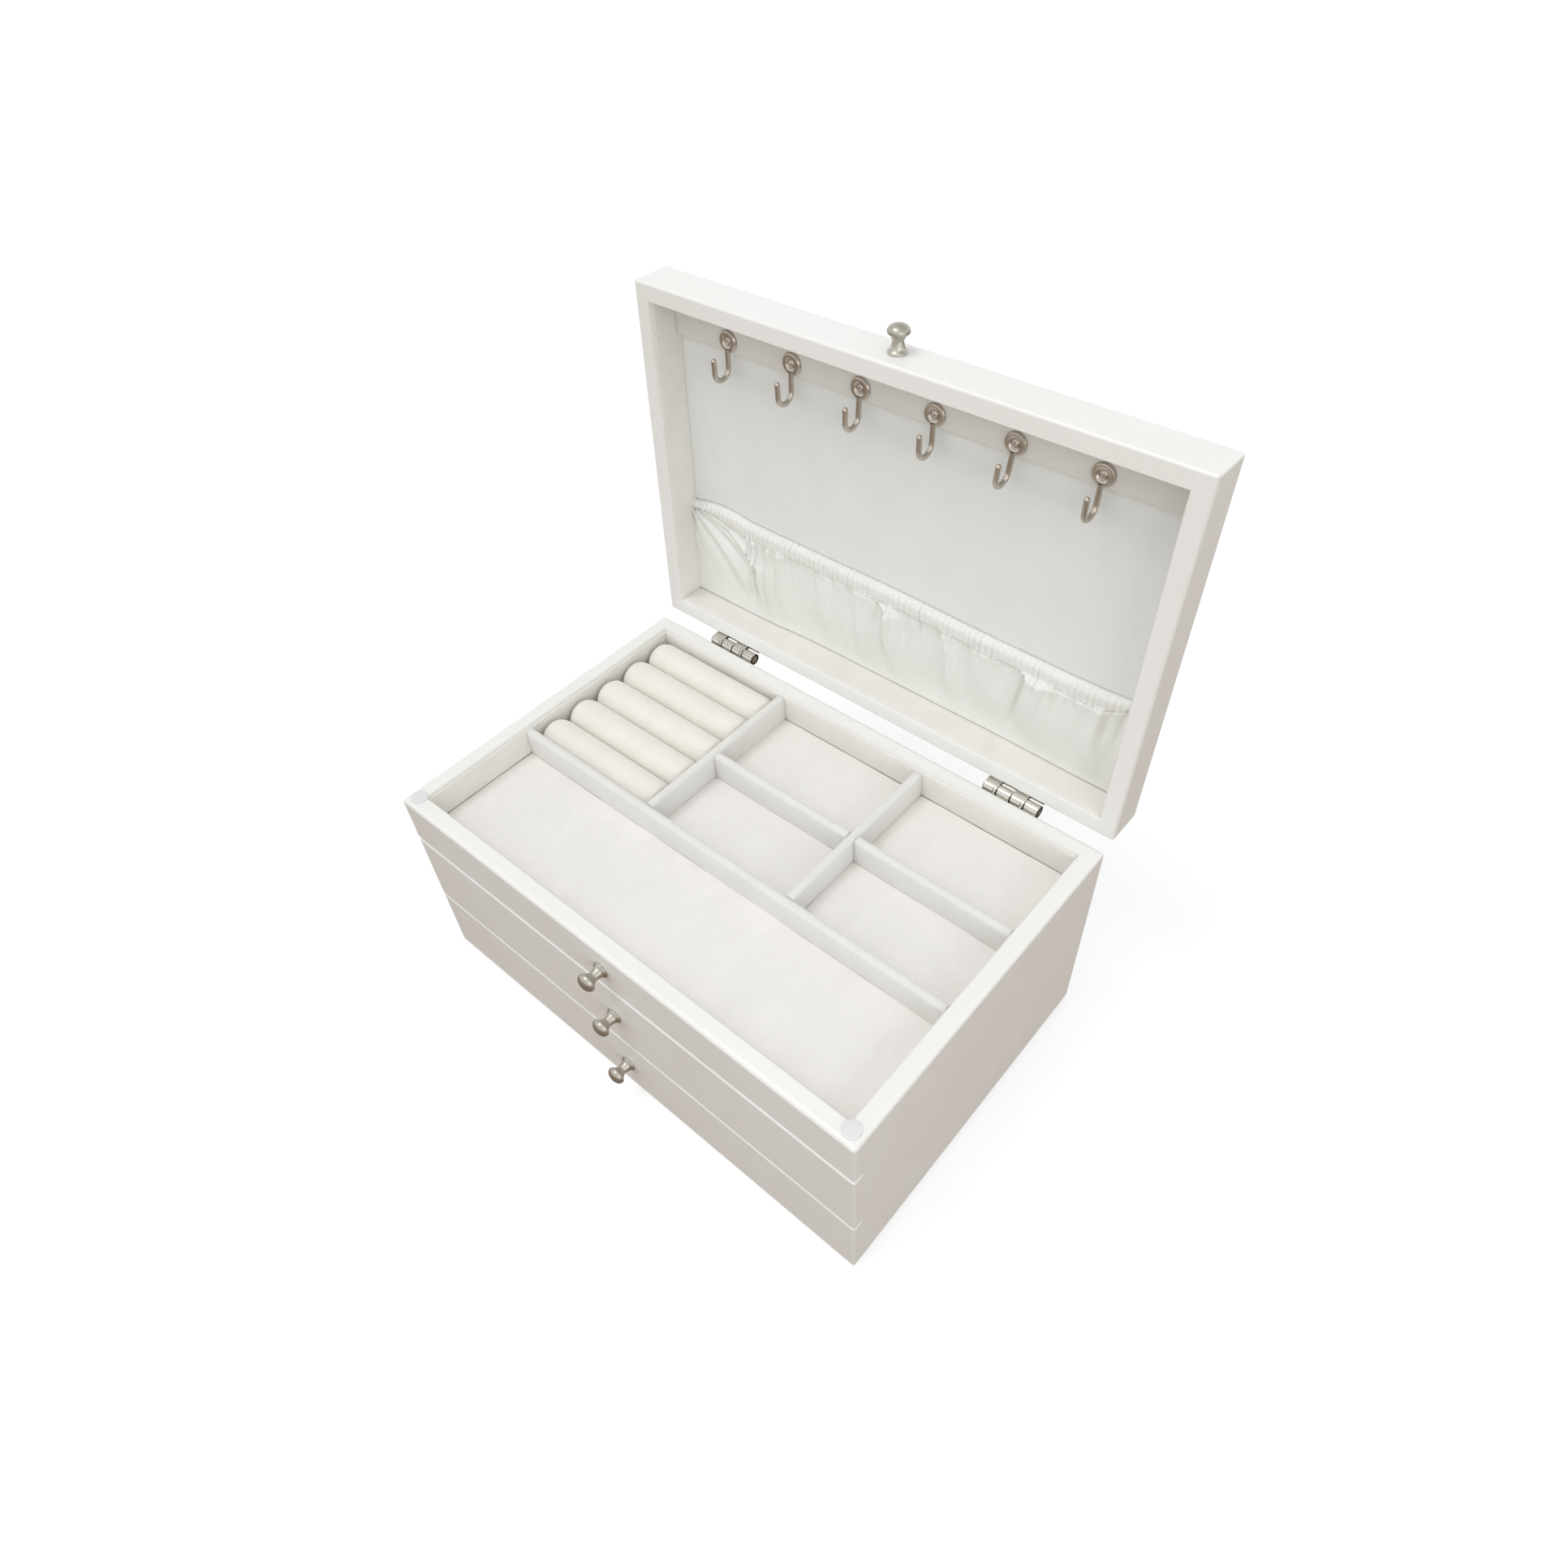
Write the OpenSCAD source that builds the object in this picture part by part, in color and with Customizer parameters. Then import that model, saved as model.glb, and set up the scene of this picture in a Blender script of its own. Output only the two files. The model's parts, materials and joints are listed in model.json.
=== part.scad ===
// Jewellery chest with a hinged lid, a divided top tray and two drawers.
// The lid is drawn closed and then swung open about its hinge pins.
// Origin: centre of the underside. X runs along the front, Y to the back, Z up.

/* [Case] */
// Width of the case
case_w = 300; // [270:5:330]
// Depth of the case with its front boards
case_d = 194; // [180:1:210]
// Height of the rim over the surface the chest stands on
rim_h = 126.5; // [124:0.5:134]
// Thickness of the walls at the rim
wall = 8.7; // [8:0.1:10]
// Thickness of the front boards, which cover the ends of the sides
face_t = 6; // [5.5:0.1:6.5]
// Height of the fixed board above the drawers
top_face_h = 30.7; // [28:0.1:33]
// Height of the lower drawer's front board
lower_face_h = 45.4; // [42:0.1:47]
// Gap round each drawer front
face_gap = 0.8; // [0.5:0.1:1.2]
// Thickness of the felt under the base
felt_t = 1.2; // [1:0.1:2]

/* [Tray] */
// Depth of the tray below the rim
tray_depth = 18.5; // [16:0.5:19]
// How far linings and dividers stay below the rim
lining_drop = 2; // [1.5:0.1:3]
// Thickness of the padded dividers
divider_t = 5; // [4:0.5:6]
// Depth of the long compartment behind the front wall
front_bay_d = 65; // [55:1:75]
// Depth of the two compartments just behind the long one
middle_bay_d = 46; // [38:1:52]
// Thickness of the suede linings
lining_t = 1.2; // [1:0.1:1.4]

/* [Lid] */
// Height of the lid
lid_h = 23.2; // [21.2:0.5:26.2]
// Gap between rim and closed lid
lid_gap = 0.9; // [0.9:0.1:1.6]
// Angle at which the hinges hold the lid open
lid_open = 92; // [0:0.5:92]
// Thickness of the lid's top panel
lid_panel_t = 3; // [2.5:0.5:3.5]
// Distance from the lid's back edge to the pocket's hem
pocket_d = 70; // [60:1:80]

/* [Hooks] */
// Distance from hook to hook
hook_pitch = 40.8; // [38:0.1:43]
// Reach of a hook from the centre of its disc to its lowest point
hook_reach = 19; // [17:0.5:20]
// Radius of the hook's bend
hook_bend_r = 4.9; // [4.5:0.1:5.1]

/* [Drawers] */
// How far both drawers are pulled out
drawers_out = 0; // [0:5:120]
// Thickness of the drawer's side and back walls
drawer_wall = 5; // [4:0.5:6]

/* [Hidden] */
$fn = 48;
tiny = 0.01;

// Heights, from the table up
face_bottom = 0.5;
base_t = 5;
shelf_t = 3;
tray_board_t = 4.3;
slide_gap = 0.3;
side_gap = 0.6;
top_face_z = rim_h - top_face_h;
base_top = felt_t + base_t;
face_joint_z = face_bottom + lower_face_h + face_gap / 2;
shelf_z = face_joint_z - shelf_t / 2;
tray_floor_z = rim_h - tray_depth;
tray_board_z = tray_floor_z - lining_t - tray_board_t;
lining_top = rim_h - lining_drop;
lid_z = rim_h + lid_gap;
lid_top = lid_z + lid_h;
ceiling_z = lid_top - lid_panel_t;
lid_lining_t = 0.9;
ceiling_face = ceiling_z - lid_lining_t;

// Places in plan
out_x = case_w / 2;
in_x = out_x - wall;
lined_x = in_x - lining_t;
front_y = -case_d / 2;
face_back = front_y + face_t;
in_front = front_y + wall;
in_back = case_d / 2 - wall;
back_y = case_d / 2;
lined_front = in_front + lining_t;
lined_back = in_back - lining_t;

// Rounding of the lacquered boards
soft_r = 1.4;
rim_r = 2.4;
foot_r = 2.8;
lid_r = 2.6;
felt_in = 2;
felt_r = 3;
seam_r = 1;
seam_low_r = 1.2;

// Tray
bay_w = (2 * lined_x - 2 * divider_t) / 3;
long_y = lined_front + front_bay_d;
mid_y = long_y + divider_t + middle_bay_d;
roll_count = 5;
roll_pitch = (lined_back - long_y - divider_t) / roll_count;
roll_gap = 0.4;
roll_top = tray_floor_z + 15.6;

// Lid inside
hook_rail_d = 19.6;
hook_rail_t = 3.6;
hook_rail_z = ceiling_face - hook_rail_t;
hook_count = 6;
hook_y = lined_front + 13.2;
hook_shift = -1.3;
hook_disc_r = 5.2;
hook_disc_t = 1.8;
hook_screw_in = 2.4;
hook_screw_head = [1.9, 2.5, 1.2];
wire_r = 1.3;
wire_off = 0.1;
wire_in = 1.3;
hook_tip_len = 6.4;
pocket_t = 1;
pocket_space = 5.8;
pocket_y = back_y - pocket_d;

// Bumpers on the rim
bumper_r = 4.4;
bumper_h = 0.8;
bumper_in = 6.6;

// Hinges
hinge_y = back_y + 3.87;
hinge_z = rim_h - 1.42;
hinge_x = out_x - 54.5;
hinge_len = 32;
knuckle_r = 3.3;
knuckle_gap = 0.25;
pin_r = 1.3;
running_fit = 0.05;
stop_angles = [209, 276];
stop_len = 2.1;
groove_w = 0.8;
groove_angle = 14;
end_recess_r = 2.3;
end_recess = 0.7;
leaf_t = 1.2;
leaf_h = 17;
leaf_drop = 2.2;
web_off = 0.4;
web_t = 1.5;
hinge_screw_x = 10;
hinge_screw_len = 8;
screw_r = 1.2;
screw_head_r = 2.3;

// Knobs
knob_len = 12.4;
knob_base_r = 4.5;
knob_base_t = 0.9;
knob_neck_r = 2.7;
knob_flare = 1.5;
knob_neck_z = [1.3, 7.4];
knob_head_r = 5;
knob_head_z = [7.9, 8.5, 9.2];
knob_dome_z = 9.9;
knob_ease = 0.3;
stud_r = 1.5;
stud_hole_r = 1.6;
stud_in = 7;
stud_head_r = 3;
stud_head_t = 1.8;

// Drawers
drawer_bottom_t = 3;
drawer_bottom_up = 1.5;
drawer_room_behind = 3.8;
drawer_back_y = in_back - drawer_room_behind;
drawer_head_room = 1.6;

// ---------- shared shapes ----------

// Rectangle with its own radius at each corner: low-left, low-right, high-right, high-left
module soft_rect(w, h, r) intersection() {
  square([w, h]);
  union() {
    polygon([[r[0], 0], [w - r[1], 0], [w, r[1]], [w, h - r[2]],
      [w - r[2], h], [r[3], h], [0, h - r[3]], [0, r[0]]]);
    corners = [[r[0], r[0]], [w - r[1], r[1]], [w - r[2], h - r[2]], [r[3], h - r[3]]];
    for (i = [0:3]) if (r[i] > 0) translate(corners[i]) circle(r[i]);
  }
}

// Box between two opposite corners
module slab(low, high) translate(low) cube(high - low);

// Profile drawn in Y and Z, run along X from x0 to x1
module along_x(x0, x1) translate([x0, 0, 0]) rotate([90, 0, 90]) linear_extrude(x1 - x0) children();

// Profile drawn in X and Z, run along Y from y0 to y1
module along_y(y0, y1) translate([0, y1, 0]) rotate([90, 0, 0]) linear_extrude(y1 - y0) children();

// Swings what was drawn on the closed lid to the open position
module on_lid()
  translate([0, hinge_y, hinge_z]) rotate([-lid_open, 0, 0])
    translate([0, -hinge_y, -hinge_z]) children();

// Full-width front board with soft edges, from z0 up by h, rounded by low_r below and high_r above
module front_board(z0, h, low_r, high_r) intersection() {
  along_x(-out_x, out_x) translate([front_y, z0]) soft_rect(face_t, h, [low_r, 0, 0, high_r]);
  along_y(front_y - 1, face_back + 1) translate([-out_x, z0])
    soft_rect(case_w, h, [low_r, low_r, high_r, high_r]);
  translate([-out_x, front_y, z0 - 1]) linear_extrude(h + 2)
    soft_rect(case_w, face_t, [soft_r, soft_r, 0, 0]);
}

// Hole for a knob's stud through a front board, with room for the screw's head behind it
module knob_hole(z, head_from) {
  translate([0, front_y - 1, z]) rotate([-90, 0, 0]) cylinder(h = wall + 2, r = stud_hole_r);
  translate([0, head_from, z]) rotate([-90, 0, 0]) cylinder(h = wall, r = stud_head_r + 0.2);
}

// Straight side wall on the right, from z0 to z1, its outer edges rounded by low_r below and top_r above
module side_wall(z0, z1, low_r, top_r) intersection() {
  along_y(face_back, back_y) translate([in_x, z0]) soft_rect(wall, z1 - z0, [0, low_r, top_r, 0]);
  along_x(in_x, out_x) translate([face_back, z0])
    soft_rect(back_y - face_back, z1 - z0, [0, low_r, top_r, 0]);
  translate([in_x, face_back, z0 - 1]) linear_extrude(z1 - z0 + 2)
    soft_rect(wall, back_y - face_back, [0, 0, soft_r, 0]);
}

// ---------- case ----------

module side_panel() side_wall(felt_t, rim_h, soft_r, rim_r);
module case_right_panel() color("white") side_panel();
module case_left_panel() color("white") mirror([1, 0, 0]) side_panel();

module case_back_panel() color("white") difference() {
  along_x(-in_x, in_x) translate([in_back, felt_t])
    soft_rect(wall, rim_h - felt_t, [0, soft_r, rim_r, 0]);
  hinge_screw_holes(hinge_z - leaf_drop - leaf_h / 2);
}

module case_top_rail() color("white") difference() {
  union() {
    front_board(top_face_z, top_face_h, foot_r, rim_r);
    slab([-in_x, face_back, top_face_z], [in_x, in_front, rim_h]);
  }
  knob_hole(top_face_z + top_face_h / 2, in_front - stud_head_t);
}

module case_base() color("beige") slab([-in_x, face_back, felt_t], [in_x, in_back, base_top]);

module base_felt() color("lightgray")
  translate([-in_x, face_back + felt_in, 0]) linear_extrude(felt_t)
    soft_rect(2 * in_x, in_back - face_back - felt_in, [felt_r, felt_r, felt_r, felt_r]);

module drawer_shelf() color("beige")
  slab([-in_x, face_back, shelf_z], [in_x, in_back, shelf_z + shelf_t]);

// ---------- top tray ----------

module tray_board() color("beige")
  slab([-in_x, in_front, tray_board_z], [in_x, in_back, tray_board_z + tray_board_t]);

module tray_floor_pad() color("seashell")
  slab([-in_x, in_front, tray_floor_z - lining_t], [in_x, in_back, tray_floor_z]);

// Four strips round a rectangular hollow, each lining_t thick, the long ones between the short ones
module wall_strips(z0, z1) {
  for (side = [-1, 1]) {
    x = side > 0 ? lined_x : -in_x;
    slab([x, in_front, z0], [x + lining_t, in_back, z1]);
  }
  slab([-lined_x, in_front, z0], [lined_x, lined_front, z1]);
  slab([-lined_x, lined_back, z0], [lined_x, in_back, z1]);
}

module tray_wall_lining() color("antiquewhite") wall_strips(tray_floor_z, lining_top);

// Padded divider's section, its top softly rounded
module divider_section()
  soft_rect(divider_t, lining_top - tray_floor_z, [0, 0, divider_t / 2 - tiny, divider_t / 2 - tiny]);

module tray_long_divider() color("whitesmoke")
  along_x(-lined_x, lined_x) translate([long_y, tray_floor_z]) divider_section();

module divider_from_long(x)
  along_y(long_y + divider_t, lined_back) translate([x, tray_floor_z]) divider_section();
module tray_ring_divider() color("whitesmoke") divider_from_long(-lined_x + bay_w);
module tray_cross_divider() color("whitesmoke") divider_from_long(lined_x - bay_w - divider_t);

module tray_mid_divider() color("whitesmoke")
  for (x = [-bay_w / 2, lined_x - bay_w])
    along_x(x, x + bay_w) translate([mid_y, tray_floor_z]) divider_section();

// One padded roll, a cylinder flattened where it lies on the floor, counted from the back
module ring_roll(i) color("cornsilk") {
  r = (roll_pitch - roll_gap) / 2;
  intersection() {
    translate([-lined_x + roll_gap, lined_back - roll_pitch * (i - 0.5), roll_top - r])
      rotate([0, 90, 0]) cylinder(h = bay_w - 2 * roll_gap, r = r);
    slab([-in_x, lined_front, tray_floor_z], [0, lined_back, rim_h]);
  }
}
module ring_roll_1() ring_roll(1);
module ring_roll_2() ring_roll(2);
module ring_roll_3() ring_roll(3);
module ring_roll_4() ring_roll(4);
module ring_roll_5() ring_roll(5);

module rim_bumpers() color("gainsboro") {
  for (side = [-1, 1]) translate([side * (out_x - bumper_in), front_y + bumper_in, rim_h])
    rotate_extrude() polygon([[0, 0], [bumper_r, 0], [bumper_r, bumper_h * 0.4],
      [bumper_r - 0.6, bumper_h * 0.9], [bumper_r - 1.6, bumper_h], [0, bumper_h]]);
}

// ---------- knobs ----------

// Half profile of the turned knob, radius against distance from the board
knob_steps = 8;
function neck_point(i) = let (a = 180 * i / knob_steps, low = knob_neck_z[0], high = knob_neck_z[1])
  [knob_neck_r + knob_flare * pow(1 - sin(a), 1.6) + knob_ease * i / knob_steps,
    low + (high - low) * (1 - cos(a)) / 2];
function dome_point(i) = let (a = 90 * i / knob_steps)
  [(knob_head_r - knob_ease) * cos(a), knob_dome_z + (knob_len - knob_dome_z) * sin(a)];
knob_profile = concat([[0, 0], [knob_base_r, 0], [knob_base_r, knob_base_t]],
  [for (i = [0:knob_steps]) neck_point(i)],
  [[knob_head_r - knob_ease, knob_head_z[0]], [knob_head_r, knob_head_z[1]],
    [knob_head_r, knob_head_z[2]]],
  [for (i = [0:knob_steps]) i == knob_steps ? [0, knob_len] : dome_point(i)]);

module knob(z) color("silver") translate([0, front_y, z]) rotate([90, 0, 0]) difference() {
  rotate_extrude() polygon(knob_profile);
  translate([0, 0, -1]) cylinder(h = stud_in + 1, r = stud_r);
}

// Machine screw whose head rests against a board's back at y = from
module knob_screw(z, from) color("gray") translate([0, from, z]) rotate([90, 0, 0]) {
  cylinder(h = from - front_y + stud_in - 0.2, r = stud_r);
  translate([0, 0, -stud_head_t]) difference() {
    cylinder(h = stud_head_t, r = stud_head_r);
    for (turn = [0, 90]) rotate(turn) slab([-2, -0.4, -1], [2, 0.4, 0.9]);
  }
}

top_knob_z = top_face_z + top_face_h / 2;
module top_knob() knob(top_knob_z);
module top_knob_screw() knob_screw(top_knob_z, in_front - stud_head_t);

// ---------- hinges ----------

// Straight stretch of barrel from x = a to b, with the strip that joins it to its leaf; up is 1 or -1
module knuckle(a, b, up, bore_r) difference() {
  union() {
    translate([a, hinge_y, hinge_z]) rotate([0, 90, 0]) cylinder(h = b - a, r = knuckle_r);
    translate([a, back_y + web_off, up > 0 ? hinge_z : hinge_z - knuckle_r - leaf_drop])
      cube([b - a, web_t, knuckle_r + leaf_drop]);
  }
  translate([a - 1, hinge_y, hinge_z]) rotate([0, 90, 0]) cylinder(h = b - a + 2, r = bore_r);
}

// Two of a hinge's four knuckles and the leaf they belong to; first is 0 or 1
module hinge_leaf(x, first, up, bore_r) {
  step = hinge_len / 4;
  x0 = x - hinge_len / 2;
  leaf_z = up > 0 ? hinge_z + knuckle_r : hinge_z - leaf_drop - leaf_h;
  difference() {
    union() {
      slab([x0, back_y, leaf_z], [x0 + hinge_len, back_y + leaf_t, leaf_z + leaf_h]);
      for (i = [first, first + 2])
        knuckle(x0 + i * step + knuckle_gap / 2, x0 + (i + 1) * step - knuckle_gap / 2, up, bore_r);
    }
    for (s = [-1, 1]) {
      translate([x + s * hinge_screw_x, back_y + leaf_t, leaf_z + leaf_h / 2]) rotate([90, 0, 0])
        screw_hole();
      translate([x + s * hinge_len / 2, hinge_y, hinge_z]) rotate([0, 90, 0])
        cylinder(h = 2 * end_recess, r = end_recess_r, center = true);
    }
  }
}

// Countersunk hole in a leaf, from its outer face inward
module screw_hole() {
  translate([0, 0, -1]) cylinder(h = leaf_t + 2, r = screw_r);
  translate([0, 0, -1]) cylinder(h = 1, r = screw_head_r);
  cylinder(h = leaf_t, r1 = screw_head_r, r2 = screw_r);
}

// Groove in the shape of a C, cut into the barrel round the stop at a knuckle's right end, where x = b
module stop_groove(b) translate([b, hinge_y, hinge_z]) rotate([0, 90, 0]) difference() {
  ring_sector(stop_angles[0], stop_angles[1], -stop_len, 1);
  ring_sector(stop_angles[0] + groove_angle, stop_angles[1] - groove_angle, groove_w - stop_len, 1);
}

// Part of a thick ring about Z, between two angles from +Y towards +Z once its axis lies along X
module ring_sector(from, to, z0, z1) translate([0, 0, z0]) rotate(from + 90)
  rotate_extrude(angle = to - from) translate([knuckle_r - groove_w, 0]) square([groove_w + 1, z1 - z0]);

module hinge_case_leaves() color("silver")
  for (s = [-1, 1]) hinge_leaf(s * hinge_x, 1, -1, pin_r);

module hinge_pins() color("gray")
  for (s = [-1, 1]) translate([s * hinge_x, hinge_y, hinge_z]) rotate([0, 90, 0])
    cylinder(h = hinge_len, r = pin_r, center = true);

module hinge_screw_holes(z)
  for (s = [-1, 1], t = [-1, 1]) translate([s * hinge_x + t * hinge_screw_x, back_y + 1, z])
    rotate([90, 0, 0]) cylinder(h = hinge_screw_len + 1, r = screw_r);

module hinge_screws(z) color("gray")
  for (s = [-1, 1], t = [-1, 1]) translate([s * hinge_x + t * hinge_screw_x, back_y + leaf_t, z])
    rotate([90, 0, 0]) difference() {
      union() {
        cylinder(h = leaf_t + hinge_screw_len - 0.5, r = screw_r);
        translate([0, 0, 0.1]) cylinder(h = leaf_t - 0.1, r1 = screw_head_r - 0.2, r2 = screw_r);
      }
      for (turn = [0, 90]) rotate(turn) slab([-1.5, -0.25, -1], [1.5, 0.25, 0.6]);
    }

module hinge_case_screws() hinge_screws(hinge_z - leaf_drop - leaf_h / 2);

// ---------- lid ----------

lid_screw_z = hinge_z + knuckle_r + leaf_h / 2;
lid_knob_z = lid_z + lid_h / 2;

module lid_top_panel() color("white") on_lid()
  along_x(-in_x, in_x) translate([face_back, ceiling_z])
    soft_rect(back_y - face_back, lid_panel_t, [0, 0, lid_r - tiny, 0]);

module lid_front_rail() color("white") on_lid() difference() {
  union() {
    front_board(lid_z, lid_h, soft_r, lid_r);
    slab([-in_x, face_back, lid_z], [in_x, in_front, ceiling_z]);
  }
  knob_hole(lid_knob_z, in_front - stud_head_t);
}

module lid_back_rail() color("white") on_lid() difference() {
  along_x(-in_x, in_x) translate([in_back, lid_z]) soft_rect(wall, ceiling_z - lid_z, [0, soft_r, 0, 0]);
  hinge_screw_holes(lid_screw_z);
}

module lid_side_rail() side_wall(lid_z, lid_top, soft_r, lid_r);
module lid_right_rail() color("white") on_lid() lid_side_rail();
module lid_left_rail() color("white") on_lid() mirror([1, 0, 0]) lid_side_rail();

module lid_ceiling_lining() color("ghostwhite") on_lid()
  slab([-in_x, in_front, ceiling_face], [in_x, in_back, ceiling_z]);

module lid_wall_lining() color("antiquewhite") on_lid() wall_strips(lid_z + lining_drop, ceiling_face);

module hook_rail() color("whitesmoke") on_lid() difference() {
  along_x(-lined_x, lined_x) translate([lined_front, hook_rail_z])
    soft_rect(hook_rail_d, hook_rail_t, [0, 1, 0, 0]);
  for (i = [1:hook_count]) translate([hook_at(i), hook_y, hook_rail_z - 1])
    cylinder(h = hook_screw_in + 1.2, r = screw_r);
}

// Place of hook i along X
function hook_at(i) = (i - (hook_count + 1) / 2) * hook_pitch + hook_shift;

// Hook i: a disc, a wire along the rail, a half turn and a short way back to a round tip
module hook(i) color("silver") on_lid() {
  wire_z = hook_rail_z - wire_r - wire_off;
  bend_y = hook_y + hook_reach - hook_bend_r - wire_r;
  wire_from = hook_y + hook_disc_r - wire_in;
  translate([hook_at(i), 0, 0]) {
    difference() {
      union() {
        translate([0, hook_y, hook_rail_z - hook_disc_t]) cylinder(h = hook_disc_t, r = hook_disc_r);
        translate([0, wire_from, wire_z]) rotate([-90, 0, 0])
          cylinder(h = bend_y - wire_from, r = wire_r);
      }
      translate([0, hook_y, hook_rail_z - 3]) cylinder(h = 5, r = screw_r);
    }
    translate([0, bend_y, wire_z - hook_bend_r]) rotate([0, -90, 0])
      rotate_extrude(angle = 180) translate([hook_bend_r, 0]) circle(wire_r);
    translate([0, bend_y - hook_tip_len, wire_z - 2 * hook_bend_r]) {
      rotate([-90, 0, 0]) cylinder(h = hook_tip_len, r = wire_r);
      sphere(wire_r);
    }
  }
}
module hook_1() hook(1);
module hook_2() hook(2);
module hook_3() hook(3);
module hook_4() hook(4);
module hook_5() hook(5);
module hook_6() hook(6);

module hook_screws() color("gray") on_lid()
  for (i = [1:hook_count]) translate([hook_at(i), hook_y, hook_rail_z - hook_disc_t]) {
    cylinder(h = hook_disc_t + hook_screw_in, r = screw_r);
    difference() {
      translate([0, 0, -hook_screw_head[2]])
        cylinder(h = hook_screw_head[2], r1 = hook_screw_head[0], r2 = hook_screw_head[1]);
      for (turn = [0, 90]) rotate(turn) slab([-1.4, -0.25, -2], [1.4, 0.25, -0.5]);
    }
  }

// Gathered pocket: a sheet held off the ceiling lining, closed along the back wall
module lid_pocket() color("snow") on_lid() {
  low = ceiling_face - pocket_space - pocket_t;
  slab([-lined_x, pocket_y, low], [lined_x, lined_back, low + pocket_t]);
  slab([-lined_x, lined_back - pocket_t, low], [lined_x, lined_back, ceiling_face]);
}

module lid_knob() on_lid() knob(lid_knob_z);
module lid_knob_screw() on_lid() knob_screw(lid_knob_z, in_front - stud_head_t);

module hinge_lid_leaves() color("silver") on_lid() difference() {
  for (s = [-1, 1]) hinge_leaf(s * hinge_x, 0, 1, pin_r + running_fit);
  for (s = [-1, 1], i = [-1, 1]) stop_groove(s * hinge_x + i * hinge_len / 4 - knuckle_gap / 2);
}

module hinge_lid_screws() on_lid() hinge_screws(lid_screw_z);

// ---------- drawers ----------

// Heights of a drawer: front board from, front board to, box from, box to
upper = [face_joint_z + face_gap / 2, top_face_z - face_gap, shelf_z + shelf_t + slide_gap,
  top_face_z - drawer_head_room];
lower = [face_bottom, face_joint_z - face_gap / 2, base_top + slide_gap, shelf_z - drawer_head_room];

// Moves what was drawn on a shut drawer to where it is pulled out to
module pulled() translate([0, -drawers_out, 0]) children();

function knob_height(d) = (d[0] + d[1]) / 2;
box_x = in_x - side_gap;

module drawer_front(d, low_r) color("white") difference() {
  front_board(d[0], d[1] - d[0], low_r, seam_r);
  translate([0, front_y - 1, knob_height(d)]) rotate([-90, 0, 0])
    cylinder(h = face_t + 2, r = stud_hole_r);
}

module drawer_sides(d) color("beige")
  for (x = [-box_x, box_x - drawer_wall])
    slab([x, face_back, d[2]], [x + drawer_wall, drawer_back_y, d[3]]);

module drawer_back(d) color("beige")
  slab([drawer_wall - box_x, drawer_back_y - drawer_wall, d[2]],
    [box_x - drawer_wall, drawer_back_y, d[3]]);

module drawer_bottom(d) color("beige")
  translate([0, 0, d[2] + drawer_bottom_up]) slab([drawer_wall - box_x, face_back, 0],
    [box_x - drawer_wall, drawer_back_y - drawer_wall, drawer_bottom_t]);

module drawer_pad(d) color("seashell")
  translate([0, 0, d[2] + drawer_bottom_up + drawer_bottom_t]) slab([drawer_wall - box_x, face_back, 0],
    [box_x - drawer_wall, drawer_back_y - drawer_wall, lining_t]);

module upper_drawer_front() pulled() drawer_front(upper, seam_low_r);
module upper_drawer_sides() pulled() drawer_sides(upper);
module upper_drawer_back() pulled() drawer_back(upper);
module upper_drawer_bottom() pulled() drawer_bottom(upper);
module upper_drawer_pad() pulled() drawer_pad(upper);
module upper_drawer_knob() pulled() knob(knob_height(upper));
module upper_drawer_screw() pulled() knob_screw(knob_height(upper), face_back);
module lower_drawer_front() pulled() drawer_front(lower, foot_r);
module lower_drawer_sides() pulled() drawer_sides(lower);
module lower_drawer_back() pulled() drawer_back(lower);
module lower_drawer_bottom() pulled() drawer_bottom(lower);
module lower_drawer_pad() pulled() drawer_pad(lower);
module lower_drawer_knob() pulled() knob(knob_height(lower));
module lower_drawer_screw() pulled() knob_screw(knob_height(lower), face_back);

case_left_panel();
case_right_panel();
case_back_panel();
case_top_rail();
case_base();
base_felt();
drawer_shelf();
tray_board();
tray_floor_pad();
tray_wall_lining();
tray_long_divider();
tray_ring_divider();
tray_cross_divider();
tray_mid_divider();
ring_roll_1();
ring_roll_2();
ring_roll_3();
ring_roll_4();
ring_roll_5();
rim_bumpers();
top_knob();
top_knob_screw();
hinge_case_leaves();
hinge_pins();
hinge_case_screws();
lid_top_panel();
lid_front_rail();
lid_back_rail();
lid_left_rail();
lid_right_rail();
lid_ceiling_lining();
lid_wall_lining();
hook_rail();
hook_1();
hook_2();
hook_3();
hook_4();
hook_5();
hook_6();
hook_screws();
lid_pocket();
lid_knob();
lid_knob_screw();
hinge_lid_leaves();
hinge_lid_screws();
upper_drawer_front();
upper_drawer_sides();
upper_drawer_back();
upper_drawer_bottom();
upper_drawer_pad();
upper_drawer_knob();
upper_drawer_screw();
lower_drawer_front();
lower_drawer_sides();
lower_drawer_back();
lower_drawer_bottom();
lower_drawer_pad();
lower_drawer_knob();
lower_drawer_screw();
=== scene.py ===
"""Looks of a lacquered jewellery chest around its CAD frame.

Materials for the CAD parts that show, then linings, dividers, ring rolls, pocket, knobs, hooks and
bumpers as pieces of their own, and at the end the floor and the light.

Lengths are in metres, in the CAD frame: +X right along the front, +Y to the back, +Z up. Where a
comment says millimetres, they are turned into metres by MM at the last step.
Pieces on the lid are built where they lie on the closed lid, and then swung open with LID_OPEN.
"""

import json
import math

import bmesh
import bpy
import numpy as np
from mathutils import Matrix, Quaternion, Vector, noise


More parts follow.
